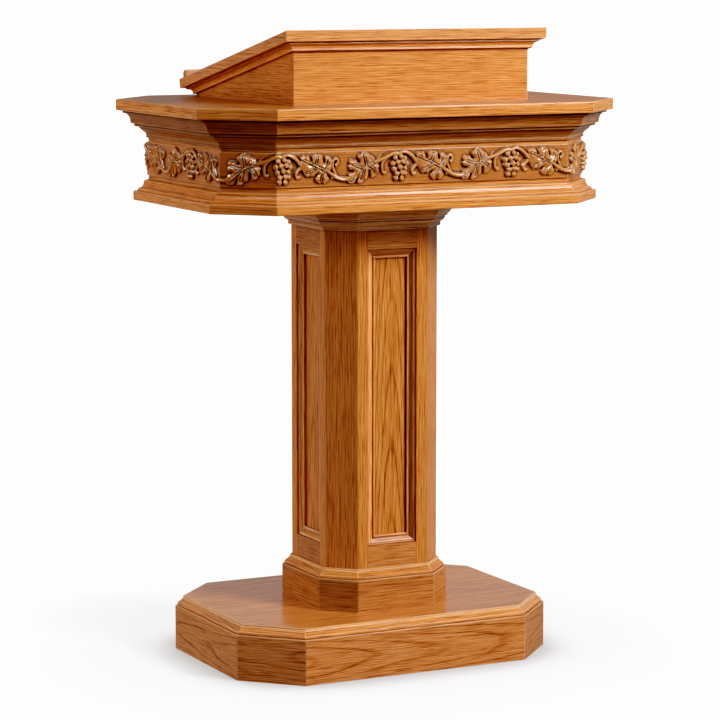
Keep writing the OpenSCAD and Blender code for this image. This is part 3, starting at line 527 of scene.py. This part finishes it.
# A leaf: how far it may reach, its height at the rim, how much more its lobes rise, and the widths of both slopes
LEAF_REACH = 36
LEAF_RISE, RIM_WIDTH = RELIEF - 4.2 + 0.4, 1.4
LEAF_PUFF, PUFF_WIDTH = 3.6, 4.5
# The grooves beside its veins, the midrib on them, and the slow wave over it all
GROOVE_DEPTH, GROOVE_AT, GROOVE_WIDTH = 2.3, 1.7, 1.25
MIDRIB_HEIGHT, MIDRIB_WIDTH = 1.3, 0.95
WAVE_HEIGHT = 0.55
LEAF_A_AT, LEAF_B_AT = (62, 31.6), (-68, 31.2)  # from the bunch before it, and from the bunch after it
LEAD, TAIL = 110, 20  # how far the carving of one bunch reaches before it, and after the next one

# Radius, height of the axis, and the radius's share at the two ends
STEM = dict(radius=3.4, base=2.6)
LEAFLET = dict(radius=2.6, base=1.4, ends=(0.9, 0.3))
CURL = dict(radius=2.5, base=2.2, ends=(1.2, 0.85))

# Tubes along a line, and balls with their radius and height, from the bunch that they follow
AFTER_TUBES = (
    (STEM, ((-7, 53.6), (-1.8, 52.6), (4.5, 55), (9, 56), (15, 54.3), (22.5, 50.3), (28, 45.4), (33, 39), (40, 33))),
    (CURL, ((33, 33), (28, 28.6), (25, 22.7), (26.6, 17.2), (29.8, 17.4))),
)
AFTER_BALLS = ((-5.4, 53.6, 2.9, 3.0), (30.2, 18.2, 2.8, 1.7))
# The same from the bunch that they lead to
BEFORE_TUBES = (
    (STEM, ((-47, 39.7), (-32, 44.3), (-22, 48.7), (-13.5, 52.3), (-5.4, 54.2))),
    (LEAFLET, ((-46, 40.5), (-41, 45), (-36.5, 49), (-34, 51.5))),
    (CURL, ((-27, 45), (-32, 38), (-32.8, 29.8), (-31, 21.7), (-27.4, 19.4))),
)
BEFORE_BALLS = ((-26.6, 20.8, 2.9, 1.7),)
# The tendril that stands between the two leaves, from the place where it leaves the stem
MIDDLE_TUBES = (
    (CURL, ((9, 15), (4, 24), (0.5, 33), (0, 40), (2, 45), (6, 47.2), (10, 45), (10.2, 39.6), (6.6, 35.6))),
)
MIDDLE_BALLS = ((6.6, 36.4, 2.8, 1.7),)


def smooth_loop(points, closed=True, steps=4):
    """Catmull-Rom through the points."""
    p = np.array(points, float)
    if closed:
        q = np.concatenate([p[-1:], p, p[:2]])
    else:
        q = np.concatenate([2 * p[:1] - p[1:2], p, 2 * p[-1:] - p[-2:-1]])
    t = np.arange(steps)[:, None] / steps
    out = []
    for a, b, c, d in zip(q, q[1:], q[2:], q[3:]):
        out.append(0.5 * (2 * b + (c - a) * t + (2 * a - 5 * b + 4 * c - d) * t * t
                          + (3 * b - a - 3 * c + d) * t ** 3))
    return np.concatenate(out if closed else out + [p[-1:]])


def segment_distance(S, Z, line):
    """Distance to an open line, and how far along it the nearest point lies, from 0 to 1."""
    best = np.full(S.shape, 1e9)
    along = np.zeros(S.shape)
    lengths = np.hypot(*np.diff(line, axis=0).T)
    done, total = 0.0, lengths.sum()
    for (x0, z0), (x1, z1), length in zip(line[:-1], line[1:], lengths):
        dx, dz = x1 - x0, z1 - z0
        t = np.clip(((S - x0) * dx + (Z - z0) * dz) / max(length * length, 1e-9), 0, 1)
        d = np.hypot(S - x0 - t * dx, Z - z0 - t * dz)
        nearer = d < best
        best = np.where(nearer, d, best)
        along = np.where(nearer, (done + t * length) / total, along)
        done += length
    return best, along


def inside(S, Z, loop):
    hit = np.zeros(S.shape, bool)
    for (x0, z0), (x1, z1) in zip(loop, np.roll(loop, -1, axis=0)):
        if z0 != z1:
            hit ^= ((z0 > Z) != (z1 > Z)) & (S < (x1 - x0) * (Z - z0) / (z1 - z0) + x0)
    return hit


def near_grid(s, z, lo, hi, at=(0, 0)):
    """The columns from lo to hi, and S and Z there, measured from at. No columns where they miss the board."""
    cut = slice(*np.searchsorted(s, (lo, hi)))
    if cut.stop - cut.start < 2:
        return None, None, None
    Z, S = np.meshgrid(z - at[1], s[cut] - at[0], indexing="ij")
    return cut, S, Z


def raise_to(H, cut, value):
    H[:, cut] = np.maximum(H[:, cut], value)


def carve_leaf(H, s, z, at, outline, veins, seed):
    cut, S, Z = near_grid(s, z, at[0] - LEAF_REACH, at[0] + LEAF_REACH, at)
    if cut is None:
        return
    loop = smooth_loop(outline)
    d, _ = segment_distance(S, Z, np.concatenate([loop, loop[:1]]))
    vein = np.full(S.shape, 1e9)
    for line in veins:
        vein = np.minimum(vein, segment_distance(S, Z, smooth_loop(line, closed=False))[0])
    rim = np.sqrt(1 - (1 - np.clip(d / RIM_WIDTH, 0, 1)) ** 2)
    puff = 1 - np.exp(-(d / PUFF_WIDTH) ** 1.5)
    h = rim * LEAF_RISE + LEAF_PUFF * puff
    # grooves and midrib run out towards the rim
    h -= GROOVE_DEPTH * np.exp(-((vein - GROOVE_AT) / GROOVE_WIDTH) ** 2) * np.clip(d / 3, 0, 1)
    h += MIDRIB_HEIGHT * np.exp(-(vein / MIDRIB_WIDTH) ** 2) * np.clip(d / 2, 0, 1)
    h += WAVE_HEIGHT * np.sin(0.38 * S + 0.9 * seed) * np.cos(0.33 * Z + 1.7 * seed) * rim
    raise_to(H, cut, np.where(inside(S, Z, loop), h, 0))


def carve_tube(H, s, z, line, radius, base, ends=(1.0, 1.0)):
    line = smooth_loop(line, closed=False)
    cut, S, Z = near_grid(s, z, line[:, 0].min() - 4, line[:, 0].max() + 4)
    if cut is None:
        return
    d, along = segment_distance(S, Z, line)
    r = radius * (ends[0] + (ends[1] - ends[0]) * along)
    raise_to(H, cut, np.where(d < r, base + np.sqrt(np.clip(r * r - d * d, 0, None)), 0))


def carve_ball(H, s, z, at, r, base):
    cut, S, Z = near_grid(s, z, at[0] - r - 1, at[0] + r + 1, at)
    if cut is None:
        return
    d2 = S * S + Z * Z
    raise_to(H, cut, np.where(d2 < r * r, base + np.sqrt(np.clip(r * r - d2, 0, None)), 0))


def carve_all(H, s, z, at, tubes, balls):
    for settings, line in tubes:
        carve_tube(H, s, z, [(at + x, y) for x, y in line], **settings)
    for x, y, r, base in balls:
        carve_ball(H, s, z, (at + x, y), r, base)


def relief(s, z):
    """Height of the carving over its ground at every s and z, in millimetres."""
    # the ground keeps the marks of the gouge, away from its upper and lower edges
    Z, S = np.meshgrid(z, s, indexing="ij")
    H = 0.10 * np.sin(0.9 * S + 1.3 * np.sin(0.21 * Z)) * np.sin(0.55 * Z + 0.8 * np.sin(0.13 * S)) + 0.1
    H = H * np.clip(np.minimum(Z, z[-1] - Z) / 0.8, 0, 1)
    following = CLUSTERS[1:] + (CLUSTERS[0] + ROUND,)
    for turn in (-ROUND, 0, ROUND):
        for i, (bunch, after) in enumerate(zip(CLUSTERS, following)):
            bunch, after = bunch + turn, after + turn
            if bunch - LEAD > s[-1] or after + TAIL < s[0]:
                continue
            carve_all(H, s, z, bunch, AFTER_TUBES, AFTER_BALLS)
            carve_all(H, s, z, after, BEFORE_TUBES, BEFORE_BALLS)
            # stem from the first leaf to the second and on, with a knot and a tendril
            a, b = bunch + LEAF_A_AT[0] + 18, after - 103
            stem = [(a + part * (b - a), y) for part, y in ((0, 29), (0.18, 24.5), (0.40, 18.7), (0.66, 13.8))]
            carve_tube(H, s, z, stem + [(b, 11.6), (b + 14, 15), (b + 26, 24)], **STEM)
            carve_ball(H, s, z, (a + 0.34 * (b - a), 15.0), 2.4, 1.6)
            carve_all(H, s, z, a + 0.36 * (b - a), MIDDLE_TUBES, MIDDLE_BALLS)
            carve_leaf(H, s, z, (bunch + LEAF_A_AT[0], LEAF_A_AT[1]), LEAF_A, VEINS_A, i)
            carve_leaf(H, s, z, (after + LEAF_B_AT[0], LEAF_B_AT[1]), LEAF_B, VEINS_B, i + 0.5)
            for x, y, r in GRAPES:
                middle = 1 - math.hypot((x - 0.5) / 18, (y - 30) / 26)
                carve_ball(H, s, z, (bunch + x, y), r, 1.4 + 2.6 * middle)
    return H


def blurred(field, reach=4, passes=2):
    """The field averaged over so many cells to each side, first down and then across."""
    width = 2 * reach + 1
    for axis in (0, 1):
        cells = np.arange(field.shape[axis])
        for _ in range(passes):
            padded = np.pad(field, [(reach, reach) if i == axis else (0, 0) for i in (0, 1)], mode="edge")
            total = np.cumsum(padded, axis=axis)
            total = np.concatenate([np.zeros_like(total[:1] if axis == 0 else total[:, :1]), total], axis=axis)
            field = (np.take(total, cells + width, axis) - np.take(total, cells, axis)) / width
    return field


GROUND = 0.0025  # thickness of the panel under the carving, from the casing to the ground, in metres
GRID = 0.75  # the mesh's cells in millimetres
CAVITY_DEPTH = 2.2  # millimetres under the mean height near by that count as a full cavity
# left paints light and shade on the carving's faces that look to -x
CARVED_OAK = dict(plan=DESK, carved=True, coat=1.0, tone=0.75, left=(1.18, 1.02, 0.7))
TAN = math.tan(math.pi / 8)
(_, front_y, _), (front_x, _, _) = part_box("casing_front")
(left_x, _, _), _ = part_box("casing_left")
(_, _, vine_z0), (_, _, vine_z1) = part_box("vine_front")
half_w, half_d, vine_x = GROUND - left_x, GROUND - front_y, front_x + GROUND * TAN
front_len, side_len = 2 * vine_x, 2 * (half_d - (half_w - vine_x))
cut_len = (half_w - vine_x) * math.sqrt(2)
cut_x, cut_y = (half_w + vine_x) / 2, (half_d + side_len / 2) / 2

# The ground's eight sides: direction, middle, length, and their stretch of the strip
MIDDLES = ((0.0, -half_d), (cut_x, -cut_y), (half_w, 0.0), (cut_x, cut_y),
           (0.0, half_d), (-cut_x, cut_y), (-half_w, 0.0), (-cut_x, -cut_y))
LENGTHS = (front_len, cut_len, side_len, cut_len) * 2
STARTS = (0.0, 569.6, 671.1, 988.7, 1090.2, 1659.8, 1761.3, 2078.9, ROUND)
SIDES = [(k * math.pi / 4, np.array(MIDDLES[k]), LENGTHS[k], STARTS[k], STARTS[k + 1]) for k in range(8)]


def vine_side(direction, centre, ground_len, s0, s1):
    """Vertices, cavities and faces of one side's panel with the carving on its face."""
    rows = int((vine_z1 - vine_z0) / MM / GRID) + 1
    cols = int((s1 - s0) / GRID) + 1
    s = np.linspace(s0, s1, cols)
    z = np.linspace(0, (vine_z1 - vine_z0) / MM, rows)
    H = relief(s, z) * MM
    cavity = np.clip((blurred(H / MM) - H / MM) / CAVITY_DEPTH, -1, 1)
    u = ((s - (s0 + s1) / 2) / (s1 - s0))[None, :]
    along = np.array([math.cos(direction), math.sin(direction)])
    out = np.array([math.sin(direction), -math.cos(direction)])

    def place(h, u, zz):
        """Points at height h over the ground. The side widens with h, so that neighbours meet in a mitre."""
        x = u * (ground_len + 2 * h * TAN)
        p = centre + x[..., None] * along + h[..., None] * out
        return np.concatenate([p, zz[..., None]], axis=-1)

    zz = np.broadcast_to(vine_z0 + z[:, None] * MM, H.shape)
    top = place(H, np.broadcast_to(u, H.shape), zz).reshape(-1, 3)
    index = np.arange(rows * cols).reshape(rows, cols)
    quads = np.stack([index[:-1, :-1], index[:-1, 1:], index[1:, 1:], index[1:, :-1]], -1).reshape(-1, 4)
    edge = np.concatenate([index[0, :-1], index[:-1, -1], index[-1, :0:-1], index[:0:-1, 0]])
    uu, ze = np.broadcast_to(u, H.shape).ravel()[edge], zz.ravel()[edge]
    back = place(np.full(uu.shape, -GROUND), uu, ze)
    ring = len(top) + np.arange(len(edge))
    walls = np.stack([edge, ring, np.roll(ring, -1), np.roll(edge, -1)], -1)
    return (np.concatenate([top, back]), np.concatenate([cavity.ravel(), np.zeros(len(back))]),
            quads.tolist(), walls.tolist(), [ring[::-1].tolist()])


def vine_piece(name, node, sides):
    """One piece from one or more sides. It stands for the CAD node."""
    verts, cavities, faces, smooth = [], [], [], []
    base = 0
    for side in sides:
        v, cavity, quads, walls, back = vine_side(*side)
        for part, soft in ((quads, True), (walls, False), (back, False)):
            faces += [[i + base for i in f] for f in part]
            smooth += [soft] * len(part)
        verts.append(v)
        cavities.append(cavity)
        base += len(v)
    mesh = bpy.data.meshes.new(name)
    mesh.from_pydata(np.concatenate(verts).tolist(), [], faces)
    mesh.polygons.foreach_set("use_smooth", smooth)
    mesh.attributes.new("cavity", "FLOAT", "POINT").data.foreach_set("value", np.concatenate(cavities))
    mesh.update()
    obj = bpy.data.objects.new(name, mesh)
    scene.collection.objects.link(obj)
    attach(obj, "root")
    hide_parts(node)
    mesh.materials.append(oak("carved_" + node, seed=1.7 + len(name), **CARVED_OAK))


vine_piece("carved_vine_front", "vine_front", [SIDES[0]])
vine_piece("carved_vine_right", "vine_right", [SIDES[2]])
vine_piece("carved_vine_back", "vine_back", [SIDES[4]])
vine_piece("carved_vine_left", "vine_left", [SIDES[6]])
vine_piece("carved_vine_corners", "vine_corners", SIDES[1::2])


# ---------------------------------------------------------------- stage, light and camera

def area(name, place, target, size, power, colour=(1, 1, 1), hidden_from=None):
    """A rectangular lamp. hidden_from is one kind of ray that passes it by: diffuse or glossy."""
    data = bpy.data.lights.new(name, "AREA")
    data.shape = "RECTANGLE"
    data.size, data.size_y = size
    data.energy = power
    data.color = colour
    light = bpy.data.objects.new(name, data)
    scene.collection.objects.link(light)
    light.location = place
    light.rotation_mode = "QUATERNION"
    light.rotation_quaternion = (Vector(target) - Vector(place)).to_track_quat("-Z", "Y")
    if hidden_from:
        setattr(light, "visible_" + hidden_from, False)


area("key", (1.52, -2.52, 2.16), (0.0, 0.0, 0.75), (0.85, 0.85), 103)
area("left", (-2.2, 1.65, 0.98), (0.0, 0.0, 0.75), (0.8, 0.8), 35, (1.0, 0.97, 0.93), hidden_from="glossy")
area("sparkle", (-2.3, 1.1, 2.3), (0.0, 0.0, 0.9), (0.5, 0.5), 22, hidden_from="diffuse")
area("glint", (-2.6, -2.2, 3.2), (0.0, 0.0, 0.9), (2.0, 1.4), 210, hidden_from="diffuse")
area("fill", (-1.15, -2.2, 1.2), (0.0, 0.0, 0.8), (0.9, 0.9), 5)

# The sky's grey from straight down to overhead, and under it a brighter band low behind the object
SKY_STOPS = (
    (0.26, (0.14, 0.14, 0.135)), (0.34, (0.34, 0.34, 0.33)), (0.41, (0.38, 0.38, 0.37)),
    (0.46, (0.26, 0.26, 0.26)), (0.62, (0.24, 0.24, 0.24)), (1.0, (0.30, 0.30, 0.30)),
)
world = bpy.data.worlds.new("studio")
scene.world = world
world.use_nodes = True
sky = Tree(world.node_tree)
sky_x, sky_y, up = sky.split(sky.add("ShaderNodeTexCoord").outputs["Generated"])
dome = sky.ramp(sky.math("MULTIPLY_ADD", up, 0.5, 0.5), SKY_STOPS)
behind = sky.math("MULTIPLY_ADD", sky_x, 0.448, sky.math("MULTIPLY", sky_y, 0.894))
band = sky.math("MULTIPLY", sky.step(behind, 0.45, 0.95), sky.step(up, 0.08, 0.2))
band = sky.math("MULTIPLY", band, sky.step(up, 0.6, 0.3))
sky.fill(world.node_tree.nodes["Background"], {"Color": dome, "Strength": sky.math("MULTIPLY_ADD", band, 0.55, 1.0)})


def stage_mesh(name, verts, faces, grey, near_glow, far_glow):
    """A pale sweep that lights itself a little, more so far from the object, so that it stays evenly pale, and less
    where the object stands close, a painted contact shadow.
    """
    mesh = bpy.data.meshes.new(name)
    mesh.from_pydata(verts, [], faces)
    obj = bpy.data.objects.new(name, mesh)
    scene.collection.objects.link(obj)
    mat, t, shader = new_material(name)
    length = t.add("ShaderNodeVectorMath", operation="LENGTH")
    t.put(length.inputs[0], t.add("ShaderNodeTexCoord").outputs["Object"])
    # painted contact shadow: the glow falls where the object stands close
    contact = t.occlusion(0.11, 8)
    glow = t.step(length.outputs["Value"], 0.45, 1.3, to=(near_glow, far_glow))
    glow = t.math("MULTIPLY", glow, t.step(contact, 0.5, 0.97, to=(0.45, 1.0)))
    t.fill(shader, {"Base Color": rgba(grey), "Roughness": 0.9, "Specular IOR Level": 0.0,
                    "Emission Color": (1.0, 1.0, 1.0, 1.0), "Emission Strength": glow})
    mesh.materials.append(mat)
    obj.visible_diffuse = False
    obj.visible_glossy = False
    return obj


FLOOR_HALF, BACKDROP_RADIUS, BACKDROP_TOP, COUNT = 400, 390, 400, 48
stage_mesh("floor", [(x * FLOOR_HALF, y * FLOOR_HALF, 0) for x, y in ((-1, -1), (1, -1), (1, 1), (-1, 1))],
           [(0, 1, 2, 3)], 0.25, 0.87, 1.3)
ring = [(BACKDROP_RADIUS * math.cos(2 * i * math.pi / COUNT), BACKDROP_RADIUS * math.sin(2 * i * math.pi / COUNT))
        for i in range(COUNT)]
backdrop = stage_mesh(
    "backdrop", [(*p, -1) for p in ring] + [(*p, BACKDROP_TOP) for p in ring] + [(0, 0, BACKDROP_TOP)],
    [(i, (i + 1) % COUNT, COUNT + (i + 1) % COUNT, COUNT + i) for i in range(COUNT)]
    + [(COUNT + i, COUNT + (i + 1) % COUNT, 2 * COUNT) for i in range(COUNT)], 0.0, 1.3, 1.3)
backdrop.visible_shadow = False

PICTURE, SENSOR = 720, 36.0  # the picture's side in pixels, and the sensor's in millimetres
AZIMUTH, PITCH, FOCAL = -26.625, 7.785, 2933.38  # in degrees, degrees and pixels
camera = bpy.data.objects.new("camera", bpy.data.cameras.new("camera"))
scene.collection.objects.link(camera)
scene.camera = camera
camera.location = (-2.38328, -4.73214, 1.26257)
a, p = math.radians(AZIMUTH), math.radians(PITCH)
camera.rotation_mode = "QUATERNION"
camera.rotation_quaternion = Vector(
    (-math.sin(a) * math.cos(p), math.cos(a) * math.cos(p), -math.sin(p))).to_track_quat("-Z", "Y")
camera.data.sensor_width = SENSOR
camera.data.lens = FOCAL / PICTURE * SENSOR
camera.data.clip_start = 0.1
camera.data.clip_end = 1000.0

WHITE = 1.12  # the light that prints as white
PAPER, INK_LIMIT = 0.982, 0.975  # the palest value of all, and of the curve's other points


def film(x):
    """A printing curve: plain in the highlights and steeper in the shadows."""
    return 1.046 * x ** 0.6 * (x / (x + 0.0193)) ** 6.9


scene.view_settings.view_transform = "Standard"
scene.view_settings.use_curve_mapping = True
curve = scene.view_settings.curve_mapping
curve.extend = "HORIZONTAL"
curve.white_level = (WHITE, WHITE, WHITE)
combined = curve.curves[3]
combined.points[0].location = (0.0, 0.0)
combined.points[-1].location = (1.0, PAPER)
for x in (0.02, 0.035, 0.055, 0.08, 0.12, 0.18, 0.27, 0.40, 0.58, 0.80, 0.98):
    combined.points.new(x / WHITE, min(film(x), INK_LIMIT))
curve.update()
